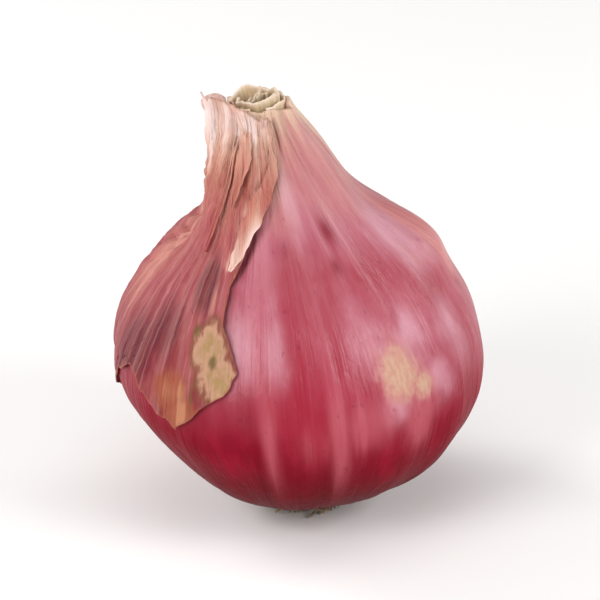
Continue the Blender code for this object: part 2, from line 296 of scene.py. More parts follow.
def soft_field(points, size, seed, count=18):
    """A soft bumpy field of about -1 to 1: the sum of plane waves of about one length, in random
    directions."""
    rng = np.random.default_rng(seed)
    field = np.zeros(points.shape[:-1])
    for _ in range(count):
        direction = rng.normal(size=3)
        direction *= 2 * math.pi / (np.linalg.norm(direction) * size * rng.uniform(0.7, 1.6))
        field += np.sin(points @ direction + rng.uniform(0, 2 * math.pi))
    return field / math.sqrt(count)


def torn(position, steps, seed, low=None, high=None):
    """A ragged line: for each (spacing, size), random values that far apart joined up, all added."""
    rng = np.random.default_rng(seed)
    low = position.min() if low is None else low
    high = position.max() if high is None else high
    line = np.zeros(position.shape)
    for spacing, size in steps:
        knots = np.arange(low, high + 2 * spacing, spacing)
        line += np.interp(position, knots, rng.uniform(-size, size, len(knots)))
    return line


def veins(angle, level):
    """Fine lines from root to neck: a bell curve across each line's own angle, which wanders slowly."""
    rng = np.random.default_rng(VEIN_SEED)
    line = np.zeros(np.broadcast(angle, level).shape)
    for number in range(VEIN_COUNT):
        place = 360 / VEIN_COUNT * (number + rng.uniform(-0.38, 0.38))
        sway = rng.uniform(0.4, 1.0) * VEIN_WANDER
        bends, phase = rng.uniform(1.2, 3.4), rng.uniform(0, 2 * math.pi)
        strength = rng.uniform(0.35, 1.0)
        centre = place + sway * np.sin(bends * level + phase)
        line = np.maximum(line, strength * hump(angle_between(angle, centre), 0, VEIN_HALF_WIDTH))
    return line


def bulb_relief(angle, level):
    """How far the bulb's skin is off its smooth form: veins, soft dents, and pleats at the neck."""
    fade = smooth_step(level, -1, -0.8)
    line = veins(angle, level)
    dents = soft_field(bulb_point(angle, level), DENT_SIZE, 8)
    turn = np.radians(angle + 5 * np.sin(4 * level))
    pleats = np.abs(np.sin(PLEAT_COUNT / 2 * turn)) ** 0.7 - 0.6
    at_neck = smooth_step(level, 0.72, 0.98)
    return (VEIN_HEIGHT * line + DENT_DEPTH * dents) * fade + PLEAT_DEPTH * pleats * at_neck


def ring(radius, height, columns):
    """A ring of points round the leaning axis, whose radius and height may change round it."""
    turn = np.radians(np.linspace(0, 360, columns, endpoint=False))
    across, along = axis_at(height)
    points = [across + radius * np.sin(turn), along - radius * np.cos(turn), height + 0 * turn]
    return np.stack(points, -1)


def grid_faces(rows, columns, closed):
    """The quads of a grid that is counted row by row. A closed grid joins its last column to its first."""
    row = np.arange(rows - 1)[:, None] * columns
    first = np.arange(columns if closed else columns - 1)[None, :]
    following = (first + 1) % columns
    corners = [row + first, row + following, row + columns + following, row + columns + first]
    return np.stack(corners, -1).reshape(-1, 4)


def make_piece(name, points, faces, finish):
    """One mesh object at the origin, shaded smooth, with one material."""
    mesh = bpy.data.meshes.new(name)
    mesh.from_pydata(points.reshape(-1, 3).tolist(), [], [list(face) for face in faces])
    mesh.shade_smooth()
    mesh.materials.append(finish)
    piece = bpy.data.objects.new(name, mesh)
    bpy.context.scene.collection.objects.link(piece)
    return piece


def give_wall(piece, thickness, offset):
    """Gives a thin sheet its thickness, outwards for an offset of 1 and to both sides for 0."""
    wall = piece.modifiers.new("wall", "SOLIDIFY")
    wall.thickness = thickness
    wall.offset = offset


def set_attribute(piece, name, values):
    """Gives each point of a piece a number, or a vector, that its material reads."""
    kind, field = ("FLOAT", "value") if values.ndim == 1 else ("FLOAT_VECTOR", "vector")
    attribute = piece.data.attributes.new(name, kind, "POINT")
    attribute.data.foreach_set(field, values.astype(np.float32).ravel())


def grain_of(angle, length):
    """Skin coordinates in millimetres: twice round the bulb's circle, then along from root to neck."""
    turn = np.radians(angle)
    radius = BULB_RADIUS / MM
    return np.stack(np.broadcast_arrays(radius * np.sin(turn), -radius * np.cos(turn), length / MM), -1)


def length_at(level):
    """The distance along the profile from the rim to a level."""
    levels = np.linspace(-1, TOP_LEVEL, 400)
    radius, height = turned_profile(levels)
    steps = np.hypot(np.diff(radius), np.diff(height))
    return np.interp(level, levels, np.concatenate([[0], np.cumsum(steps)]))


def marks(angle, height, spots):
    """How strongly marks show: the strongest of bell curves, each as angle, height in mm, reach in
    degrees, reach in mm and strength."""
    strength = np.zeros(np.broadcast(angle, height).shape)
    for centre, middle, reach, rise, size in spots:
        spot = size * hump(angle_between(angle, centre), 0, reach) * hump(height / MM, middle, rise)
        strength = np.maximum(strength, spot)
    return strength


# Marks on the bare bulb
SCUFFS = (
    (36.5, 22.0, 7.6, 2.9, 1.3), (44.5, 20.0, 5, 1.7, 1.1), (70, 31.0, 4, 2.0, 0.4), (128, 20.0, 6, 3.0, 0.7),
)
SPOTS = (
    (-20, 15.2, 4.0, 2.2, 1.0), (34, 35.4, 4.2, 1.2, 1.2), (29, 32.3, 2.6, 0.8, 1.0),
    (5, 34.0, 2.4, 0.7, 0.6), (24, 12.6, 3.0, 1.6, 0.8), (49, 14.7, 3.0, 1.8, 0.8),
    (88, 26.0, 1.9, 0.7, 0.8),
)
BANDS = (
    (3, 21.0, 8, 6.5, 1.9), (-9, 19.3, 5, 1.6, 1.2), (9, 30.5, 10, 4.0, 1.3), (44, 31.5, 14, 3.0, 0.9),
    (70, 28.0, 10, 2.4, 1.2), (22, 31.0, 7, 3.0, 0.9), (30, 12.0, 6, 4.0, 0.8), (50, 15.0, 6, 5.0, 0.7),
    (104, 22.0, 12, 10.0, 0.8), (-21, 14.0, 8, 5.0, 1.0),
)
LIGHT_STRIPES = (
    (14.5, 15.8, 3.8, 7.0, 1.3), (-7.0, 15.5, 3.0, 7.0, 1.0), (24, 16.8, 9, 3.6, 1.8),
    (42, 16.0, 8, 3.2, 1.8), (5, 15.0, 7, 3.0, 0.9),
)
# Painted highlights and sheen: dull whitish pink patches where the soft light catches the skin
PAINTED_HIGHLIGHTS = (
    (-17, 25.4, 8, 4.1, 1.8), (-4, 25.2, 4.6, 4.0, 1.8), (28, 25.4, 8, 4.4, 1.3), (46, 24.0, 9, 3.6, 1.2),
    (33, 18.8, 9, 2.8, 1.1), (52, 20.0, 10, 3.4, 1.2), (66, 22.4, 10, 3.6, 1.3), (96, 30.0, 14, 3.6, 0.5),
    (74, 33.4, 15, 3.2, 2.0), (17, 38.6, 8, 3.8, 1.8), (150, 26.0, 14, 8.0, 0.7),
)
# Where the pink of the bulb reaches up the neck
ROSY_SIDES = ((58, 42.0, 36, 4.4, 1.6), (160, 41.0, 30, 3.0, 0.6))
# Orange-pink on the full shoulder and beside the strips; at the shoulder's outline it is painted rim light
PEACH_AND_RIM_LIGHT = ((101, 31.0, 20, 6.0, 1.3), (-30, 36.0, 10, 4.0, 0.4))
# Painted shadow: the dark line on the bulb along the dry skin's front edge, and the heights that it starts
# and ends over in mm
EDGE_SHADOW_WIDTH = 0.36 * MM
EDGE_SHADOW_HEIGHTS = ((20, 34), (39, 43))

# Marks on the dry outer skin
TAN_PATCHES = (
    (-27, 24.8, 5.6, 2.1, 1.4), (-23, 21.8, 6.0, 2.2, 1.5), (-128, 29.0, 6, 3.0, 0.8),
    (-190, 16.0, 8, 3.5, 0.7),
)
ORANGE_PATCHES = ((-40, 19.6, 6, 2.0, 1.4), (-35, 17.6, 6, 1.8, 1.4), (-150, 12.0, 9, 3.0, 0.7))
DULL_PATCHES = (
    (-49, 25.0, 8, 3.4, 1.6), (-58, 22.0, 10, 3.8, 1.7), (-34, 30.0, 7, 2.6, 1.0), (-170, 26.0, 30, 7.0, 0.9),
)
PALE_PATCHES = ((-95, 45.6, 42, 4.6, 1.9), (-22, 46.0, 40, 2.9, 1.2), (-170, 45.0, 30, 3.0, 0.7))
BROWN_FOLDS = (
    (-22, 42.4, 6, 3.0, 1.6), (-12, 41.2, 3, 1.4, 0.9), (8, 42.0, 3, 2.4, 0.8), (-46, 40.5, 4.5, 2.6, 0.8),
)
# Salmon on the dry skin; along its left outline it is painted rim light
SALMON_AND_RIM_LIGHT_PATCHES = (
    (-84, 28.5, 14, 5.0, 1.6), (-66, 31.4, 7, 3.6, 0.9), (-92, 34.0, 22, 5.0, 1.0), (-28, 29.0, 3, 2.2, 0.5),
    (-42, 36.4, 8, 2.6, 0.8),
)
DARK_FLECKS = (
    (-25.5, 23.6, 1.7, 0.8, 1.2), (-31.5, 20.2, 1.5, 2.2, 0.7), (-44, 35.5, 1.5, 0.5, 0.8),
    (-33, 26.2, 1.6, 0.9, 0.7),
)

# The height that a colour ramp spans
RAMP_HEIGHT = 50 * MM


def srgb(code):
    """A hex colour as the linear numbers that a shader wants."""
    values = [int(code[i : i + 2], 16) / 255 for i in (1, 3, 5)]
    linear = [v / 12.92 if v <= 0.04045 else ((v + 0.055) / 1.055) ** 2.4 for v in values]
    return (*linear, 1.0)


def add(tree, kind, inputs, **settings):
    """Adds a node. Its settings are its own properties. Its inputs are by socket name or number, and
    each is a value or the output that feeds it."""
    made = tree.nodes.new(kind)
    for name, value in settings.items():
        setattr(made, name, value)
    for socket, value in inputs.items():
        if isinstance(value, bpy.types.NodeSocket):
            tree.links.new(value, made.inputs[socket])
        else:
            made.inputs[socket].default_value = value
    return made


def new_material(name):
    """A material with its node tree and its shader."""
    made = bpy.data.materials.new(name)
    made.use_nodes = True
    return made, made.node_tree, made.node_tree.nodes["Principled BSDF"]


def speckle(tree, grain, size, stretch, low, high, detail=3.0, warp=0.0):
    """A mask of 0 to 1 from noise of one real size in millimetres, drawn out along the skin by stretch,
    cut between two levels of the noise."""
    long = add(tree, "ShaderNodeVectorMath", {0: grain, 1: (1, 1, 1 / stretch)}, operation="MULTIPLY")
    noise_inputs = {"Vector": long.outputs[0], "Scale": 1 / size, "Detail": detail, "Distortion": warp}
    noise = add(tree, "ShaderNodeTexNoise", noise_inputs)
    ends = {"Value": noise.outputs[0], "From Min": low, "From Max": high}
    return add(tree, "ShaderNodeMapRange", ends, interpolation_type="SMOOTHSTEP").outputs[0]


def coats(tree, base, layers):
    """Lays colours over each other: each layer's colour, a hex one or another colour of the tree,
    covers what is under it by its mask, times its strength."""
    for colour, mask, strength in layers:
        share = add(tree, "ShaderNodeMath", {0: mask, 1: strength}, operation="MULTIPLY")
        over = srgb(colour) if isinstance(colour, str) else colour
        mixed = {0: share.outputs[0], 6: base, 7: over}
        base = add(tree, "ShaderNodeMix", mixed, data_type="RGBA").outputs[2]
    return base


def rough_edged(tree, mark, noise, low, high):
    """A soft mark made ragged: it is multiplied by noise of 0.5 to 1.5, and cut between two levels."""
    uneven = add(tree, "ShaderNodeMath", {0: noise, 1: 0.5}).outputs[0]
    broken = add(tree, "ShaderNodeMath", {0: uneven, 1: mark}, operation="MULTIPLY")
    ends = {"Value": broken.outputs[0], "From Min": low, "From Max": high}
    return add(tree, "ShaderNodeMapRange", ends, interpolation_type="SMOOTHSTEP").outputs[0]


def colours_by_height(tree, stops, wobble):
    """A colour that changes with height, its limits made uneven by a noise mask. Its stops are given
    from the lowest up, as height in mm and hex colour."""
    place = add(tree, "ShaderNodeTexCoord", {})
    height = add(tree, "ShaderNodeSeparateXYZ", {0: place.outputs["Object"]}).outputs[2]
    uneven = {0: wobble, 1: 2.5 * MM, 2: height}
    height = add(tree, "ShaderNodeMath", uneven, operation="MULTIPLY_ADD").outputs[0]
    share = add(tree, "ShaderNodeMath", {0: height, 1: RAMP_HEIGHT}, operation="DIVIDE")
    ramp = add(tree, "ShaderNodeValToRGB", {0: share.outputs[0]})
    elements = ramp.color_ramp.elements
    for millimetres, code in stops[1:-1]:
        elements.new(millimetres * MM / RAMP_HEIGHT).color = srgb(code)
    for end in (0, -1):
        millimetres, code = stops[end]
        elements[end].position = millimetres * MM / RAMP_HEIGHT
        elements[end].color = srgb(code)
    return ramp.outputs[0]


def relief(tree, parts):
    """Bumps laid over each other: each mask's height in millimetres."""
    normal = None
    for mask, height in parts:
        inputs = {"Height": mask, "Distance": height * MM, "Strength": 1.0}
        if normal:
            inputs["Normal"] = normal
        normal = add(tree, "ShaderNodeBump", inputs).outputs[0]
    return normal


def fresh_scale_skin():
    """The living outer scale of a red onion: thin clear skin over crimson flesh. The eye sees a satin
    sheen, with pale veins and crimson between them, paler towards the neck. The gloss is rubbed off
    low down."""
    made, tree, shader = new_material("fresh_red_onion_scale")
    names = ("vein", "scuff", "spot", "band", "stripe", "painted_highlight", "edge_shadow", "rosy", "peach_and_rim_light")
    mark = {name: add(tree, "ShaderNodeAttribute", {}, attribute_name=name).outputs["Fac"] for name in names}
    grain = add(tree, "ShaderNodeAttribute", {}, attribute_name="grain").outputs["Vector"]
    broad = speckle(tree, grain, 6.5, 12, 0.42, 0.62, 2.0)
    stripe = speckle(tree, grain, 2.4, 14, 0.38, 0.78, 3.0, 0.3)
    dark_stripe = speckle(tree, grain, 3.1, 10, 0.44, 0.76, 2.0)
    fibre = speckle(tree, grain, 0.32, 40, 0.25, 0.75, 2.0)
    cloud = speckle(tree, grain, 7.0, 1.5, 0.42, 0.72, 4.0)
    fleck = speckle(tree, grain, 0.7, 1.6, 0.66, 0.74, 2.0)
    blotch = speckle(tree, grain, 0.8, 1.3, 0.2, 0.8, 5.0)
    scurf = speckle(tree, grain, 0.45, 2.0, 0.3, 0.7, 3.0)
    mottle = speckle(tree, grain, 1.5, 2.0, 0.35, 0.70, 4.0, 0.4)
    # Both ramps grow darker towards the root: deeper crimson, deepened further by painted shade of the
    # underside
    deep = colours_by_height(
        tree,
        (
            (0.5, "#8a6a48"), (2.6, "#4c0209"), (8.0, "#5c030f"), (15.0, "#780518"), (23.0, "#93102b"),
            (31.0, "#9d2c41"), (37.0, "#a74c5c"), (40.5, "#b46a6c"), (43.5, "#c9947f"), (46.0, "#dab79a"),
        ),
        broad,
    )
    pale = colours_by_height(
        tree,
        (
            (0.5, "#b89a70"), (2.6, "#5f0810"), (8.0, "#700b19"), (15.0, "#8e1c31"), (23.0, "#b24c60"),
            (31.0, "#bd6c7a"), (37.0, "#c6828c"), (40.5, "#cf9691"), (43.5, "#deb3a0"), (46.0, "#edd0ba"),
        ),
        broad,
    )
    colour = coats(
        tree,
        deep,
        (
            (pale, cloud, 0.40),
            (pale, stripe, 0.50),
            (deep, dark_stripe, 0.45),
            (pale, mottle, 0.28),
            ("#960c27", rough_edged(tree, mark["band"], mottle, 0.0, 1.2), 0.65),
            # Painted highlight: whitish pink where the soft light catches the skin
            ("#d6a0ae", rough_edged(tree, mark["painted_highlight"], cloud, 0.05, 1.2), 0.66),
            ("#b05f69", rough_edged(tree, mark["rosy"], stripe, 0.05, 0.9), 0.85),
            # Orange-pink, partly painted rim light on the shoulder's outline
            ("#cd7c74", rough_edged(tree, mark["peach_and_rim_light"], stripe, 0.05, 1.0), 0.75),
            (pale, mark["vein"], 0.24),
            ("#ba5c67", rough_edged(tree, mark["stripe"], stripe, 0.0, 1.2), 0.68),
            (pale, fibre, 0.10),
            ("#5c0818", fleck, 0.30),
            ("#be7d7c", rough_edged(tree, mark["scuff"], mottle, 0.05, 0.6), 0.75),
            ("#c2927f", rough_edged(tree, mark["scuff"], blotch, 0.25, 0.9), 0.85),
            ("#c6a58c", rough_edged(tree, mark["scuff"], scurf, 0.60, 1.5), 0.70),
            ("#800c24", mark["spot"], 0.75),
            # Painted shadow of the dry skin's lifted front edge
            ("#4a1418", mark["edge_shadow"], 0.75),
        ),
    )
    tree.links.new(colour, shader.inputs["Base Color"])
    sheen_range = {"Value": fibre, "To Min": 0.38, "To Max": 0.48}
    roughness = add(tree, "ShaderNodeMapRange", sheen_range).outputs[0]
    tree.links.new(roughness, shader.inputs["Roughness"])
    place = add(tree, "ShaderNodeTexCoord", {})
    height = add(tree, "ShaderNodeSeparateXYZ", {0: place.outputs["Object"]}).outputs[2]
    gloss_range = {"Value": height, "From Min": 14 * MM, "From Max": 23 * MM, "To Min": 0.0, "To Max": 0.75}
    gloss = add(tree, "ShaderNodeMapRange", gloss_range, interpolation_type="SMOOTHSTEP").outputs[0]
    worn = {0: mark["scuff"], 1: -0.7, 2: gloss}
    gloss = add(tree, "ShaderNodeMath", worn, operation="MULTIPLY_ADD", use_clamp=True).outputs[0]
    tree.links.new(gloss, shader.inputs["Coat Weight"])
    surface = relief(tree, ((fibre, 0.035), (stripe, 0.03), (blotch, 0.025), (mottle, 0.05)))
    tree.links.new(surface, shader.inputs["Normal"])
    tree.links.new(surface, shader.inputs["Coat Normal"])
    shader.inputs["IOR"].default_value = 1.45
    shader.inputs["Specular IOR Level"].default_value = 0.04
    shader.inputs["Subsurface Weight"].default_value = 0.06
    shader.inputs["Subsurface Radius"].default_value = (1.0, 0.25, 0.2)
    shader.inputs["Subsurface Scale"].default_value = 0.8 * MM
    shader.inputs["Coat Roughness"].default_value = 0.38
    return made


def dry_skin():
    """The dead outermost scale of a red onion, dried to paper. The eye sees dull purple brown with
    tan and cream where it has worn thin, pale torn edges and a weak sheen along its fibres."""
    made, tree, shader = new_material("dried_papery_onion_skin")
    names = ("vein", "edge", "tan", "orange", "dull", "flecks", "pale", "salmon_and_rim_light", "brown", "turned")
    mark = {name: add(tree, "ShaderNodeAttribute", {}, attribute_name=name).outputs["Fac"] for name in names}
    grain = add(tree, "ShaderNodeAttribute", {}, attribute_name="grain").outputs["Vector"]
    broad = speckle(tree, grain, 5.0, 10, 0.40, 0.64, 3.0)
    stripe = speckle(tree, grain, 1.5, 18, 0.45, 0.68, 3.0, 0.4)
    rust = speckle(tree, grain, 1.9, 14, 0.50, 0.66, 3.0, 0.5)
    fibre = speckle(tree, grain, 0.28, 36, 0.25, 0.75, 2.0)
    thread = speckle(tree, grain, 0.50, 30, 0.52, 0.66, 2.0, 0.3)
    blotch = speckle(tree, grain, 1.0, 1.5, 0.2, 0.8, 5.0)
    crinkle = speckle(tree, grain, 0.9, 3.0, 0.3, 0.7, 4.0, 0.6)
    mottle = speckle(tree, grain, 1.6, 2.2, 0.42, 0.72, 4.0, 0.5)
    base = colours_by_height(
        tree,
        (
            (1.5, "#8a5638"), (5.0, "#66161d"), (14.0, "#741522"), (22.0, "#852234"), (30.0, "#9b3a4a"),
            (36.0, "#ae5555"), (40.0, "#c27867"), (43.0, "#d9a18b"), (46.0, "#edcab4"),
        ),
        broad,
    )
    colour = coats(
        tree,
        base,
        (
            ("#b96268", stripe, 0.30),
            ("#c4706e", mottle, 0.35),
            ("#5a0e26", rough_edged(tree, mark["dull"], broad, 0.05, 0.9), 0.90),
            ("#8f4130", rust, 0.35),
            # Salmon, partly painted rim light along the left outline
            ("#db9686", rough_edged(tree, mark["salmon_and_rim_light"], stripe, 0.1, 1.1), 0.8),
            ("#cf9690", mark["vein"], 0.26),
            ("#7d3c3c", fibre, 0.20),
            ("#d8a294", thread, 0.18),
            ("#9a5038", rough_edged(tree, mark["orange"], blotch, 0.15, 0.7), 0.85),
            ("#bd8260", rough_edged(tree, mark["orange"], stripe, 0.35, 1.3), 0.80),
            ("#7c4a34", rough_edged(tree, mark["tan"], blotch, 0.10, 0.35), 0.80),
            ("#bf9377", rough_edged(tree, mark["tan"], blotch, 0.28, 0.65), 0.95),
            ("#a18454", rough_edged(tree, mark["tan"], blotch, 0.75, 1.4), 0.85),
            ("#5c5220", rough_edged(tree, mark["flecks"], blotch, 0.2, 1.0), 0.80),
            ("#8e4434", rough_edged(tree, mark["brown"], stripe, 0.10, 0.9), 0.75),
            ("#dcaa94", rough_edged(tree, mark["pale"], broad, 0.05, 0.5), 0.85),
            ("#f9dcd6", rough_edged(tree, mark["pale"], broad, 0.25, 0.9), 0.92),
            ("#dca596", rough_edged(tree, mark["turned"], crinkle, 0.15, 0.7), 0.80),
            ("#efcabc", rough_edged(tree, mark["turned"], crinkle, 0.65, 1.3), 0.80),
            ("#a86a4e", rough_edged(tree, mark["edge"], blotch, 0.4, 1.2), 0.55),
            ("#8b5648", fibre, 0.12),
        ),
    )
    tree.links.new(colour, shader.inputs["Base Color"])
    sheen_range = {"Value": fibre, "To Min": 0.45, "To Max": 0.60}
    roughness = add(tree, "ShaderNodeMapRange", sheen_range).outputs[0]
    tree.links.new(roughness, shader.inputs["Roughness"])
    surface = relief(tree, ((fibre, 0.06), (stripe, 0.07), (crinkle, 0.09), (mottle, 0.05)))
    tree.links.new(surface, shader.inputs["Normal"])
    shader.inputs["IOR"].default_value = 1.45
    shader.inputs["Specular IOR Level"].default_value = 0.15
    shader.inputs["Subsurface Weight"].default_value = 0.08
    shader.inputs["Subsurface Radius"].default_value = (1.0, 0.45, 0.3)
    shader.inputs["Subsurface Scale"].default_value = 0.6 * MM
    return made


def dry_leaf_paper():
    """Dead leaf bases in the neck, dried to cream paper. The eye sees matt cream and tan with brown
    fibres and darker hollows."""
    made, tree, shader = new_material("dried_leaf_base_paper")
    names = ("inside", "rim")
    mark = {name: add(tree, "ShaderNodeAttribute", {}, attribute_name=name).outputs["Fac"] for name in names}
    grain = add(tree, "ShaderNodeAttribute", {}, attribute_name="grain").outputs["Vector"]
    stripe = speckle(tree, grain, 1.6, 9, 0.42, 0.66, 3.0, 0.3)
    brown = speckle(tree, grain, 1.1, 7, 0.54, 0.70, 3.0, 0.5)
    fibre = speckle(tree, grain, 0.5, 16, 0.25, 0.75, 2.0)
    base = colours_by_height(
        tree,
        ((41.0, "#b97c68"), (43.5, "#cda384"), (45.5, "#d2b58f"), (48.5, "#d4bf98")),
        stripe,
    )
    colour = coats(
        tree,
        base,
        (
            ("#f0dcc4", stripe, 0.5),
            ("#a8805a", brown, 0.35),
            # Olive tint of the inner rolls, with painted shade of the neck's hollow
            ("#857a56", mark["inside"], 0.60),
            ("#f2dccb", mark["rim"], 0.70),
            ("#a98560", fibre, 0.2),
        ),
    )
    tree.links.new(colour, shader.inputs["Base Color"])
    tree.links.new(relief(tree, ((fibre, 0.04), (stripe, 0.05))), shader.inputs["Normal"])
    shader.inputs["Roughness"].default_value = 0.68
    shader.inputs["IOR"].default_value = 1.45
    shader.inputs["Subsurface Weight"].default_value = 0.15
    shader.inputs["Subsurface Radius"].default_value = (1.0, 0.7, 0.45)
    shader.inputs["Subsurface Scale"].default_value = 0.6 * MM
    return made


def dry_root():
    """Dried root plate and roots: corky and fibrous. The eye sees matt grey brown with straw tips."""
    made, tree, shader = new_material("dried_onion_root")
    place = add(tree, "ShaderNodeTexCoord", {})
    scaled = {0: place.outputs["Object"], 1: (1 / MM, 1 / MM, 1 / MM)}
    grain = add(tree, "ShaderNodeVectorMath", scaled, operation="MULTIPLY").outputs[0]
    cork = speckle(tree, grain, 0.9, 1, 0.35, 0.65, 4.0)
    grit = speckle(tree, grain, 0.25, 1, 0.3, 0.7, 3.0)
    base = add(tree, "ShaderNodeMix", {0: cork, 6: srgb("#7d6345"), 7: srgb("#b79c70")}, data_type="RGBA")
    colour = coats(tree, base.outputs[2], (("#5a4530", grit, 0.35),))
    tree.links.new(colour, shader.inputs["Base Color"])
    tree.links.new(relief(tree, ((grit, 0.05), (cork, 0.1))), shader.inputs["Normal"])
    shader.inputs["Roughness"].default_value = 0.85
    return made


def along_edge(edge, where):
    """The value of a torn edge at a place, straight between its points."""
    ordered = sorted(edge)
    return np.interp(where, [p[0] for p in ordered], [p[1] for p in ordered])


def front_edge(height):
    """The angle of the dry skin's front edge at a height in mm: the tear's line with its fray."""
    return along_edge(FRONT_TEAR, height) + torn(height, FRONT_FRAY, 23, 0, 50)


def build_bulb(finish):
    """The bulb: rings from the middle of the root recess, out and up the outside, over the ragged lip
    and down to the floor of the neck's socket."""
    angle = np.linspace(0, 360, BULB_COLUMNS, endpoint=False)[None, :]
    lower = -np.linspace(1, 0, LOWER_ROWS, endpoint=False)
    upper = np.linspace(0, LIP_LEVEL, UPPER_ROWS)
    level = np.concatenate([lower, upper])[:, None]
    outside = bulb_point(angle, level) + bulb_normal(angle, level) * bulb_relief(angle, level)[..., None]
    ragged = 0.5 * soft_field(outside[-1], 2.2 * MM, 4) + 0.3 * np.sin(np.radians(3 * angle[0]))
    outside[..., 2] += smooth_step(level, 0.92, LIP_LEVEL) * LIP_RAGGED * ragged
    lip = outside[-1]
    centre = np.stack([*axis_at(lip[:, 2]), lip[:, 2]], -1)
    thin = centre + (lip - centre) * 0.9
    rim_height = float(turned_profile(-1)[1])
    recess = [ring(RECESS_RADIUS * share, RECESS_ROOF, BULB_COLUMNS) for share in RECESS_RINGS]
    recess.append(ring(RECESS_RADIUS, rim_height + 0.15 * MM, BULB_COLUMNS))
    socket = [ring(SOCKET_RADIUS * share, place * MM, BULB_COLUMNS) for share, place in SOCKET_RINGS]
    grid = np.stack([*recess, *outside, thin, *socket])
    rows = len(grid)
    last = (rows - 1) * BULB_COLUMNS
    lower_pole = np.full(BULB_COLUMNS, rows * BULB_COLUMNS)
    upper_pole = lower_pole + 1
    column = np.arange(BULB_COLUMNS)
    following = np.roll(column, -1)
    lower_cap = np.stack([lower_pole, following, column], -1)
    upper_cap = np.stack([upper_pole, last + column, last + following], -1)
    faces = grid_faces(rows, BULB_COLUMNS, True).tolist()
    faces += np.stack([lower_cap, upper_cap], 1).reshape(-1, 3).tolist()
    poles = [grid[0].mean(0), grid[-1].mean(0)]
    piece = make_piece("bulb_scale", np.concatenate([grid.reshape(-1, 3), poles]), faces, finish)
    row_level = np.concatenate([np.full(len(recess), -1), level[:, 0], np.full(1 + len(socket), 1)])[:, None]
    height = turned_profile(row_level)[1]
    grain = grain_of(angle, length_at(row_level)).reshape(-1, 3)
    set_attribute(piece, "grain", np.concatenate([grain, np.zeros((2, 3))]))
    beside = angle_between(angle, front_edge(height / MM)) * math.pi / 180 * turned_profile(row_level)[0]
    for name, values in {
        "vein": veins(angle, row_level),
        "scuff": marks(angle, height, SCUFFS),
        "spot": marks(angle, height, SPOTS),
        "band": marks(angle, height, BANDS),
        "stripe": marks(angle, height, LIGHT_STRIPES),
        # painted highlights and sheen
        "painted_highlight": marks(angle, height, PAINTED_HIGHLIGHTS),
        "rosy": marks(angle, height, ROSY_SIDES),
        # orange-pink, partly painted rim light
        "peach_and_rim_light": marks(angle, height, PEACH_AND_RIM_LIGHT),
        # painted shadow beside the dry skin's front edge
        "edge_shadow": hump(beside, EDGE_SHADOW_WIDTH / 2, EDGE_SHADOW_WIDTH) * between(height / MM, EDGE_SHADOW_HEIGHTS),
    }.items():
        full = np.broadcast_to(values, (rows, BULB_COLUMNS)).reshape(-1)
        set_attribute(piece, name, np.concatenate([full, np.zeros(len(poles))]))
    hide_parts("bulb")
    return piece


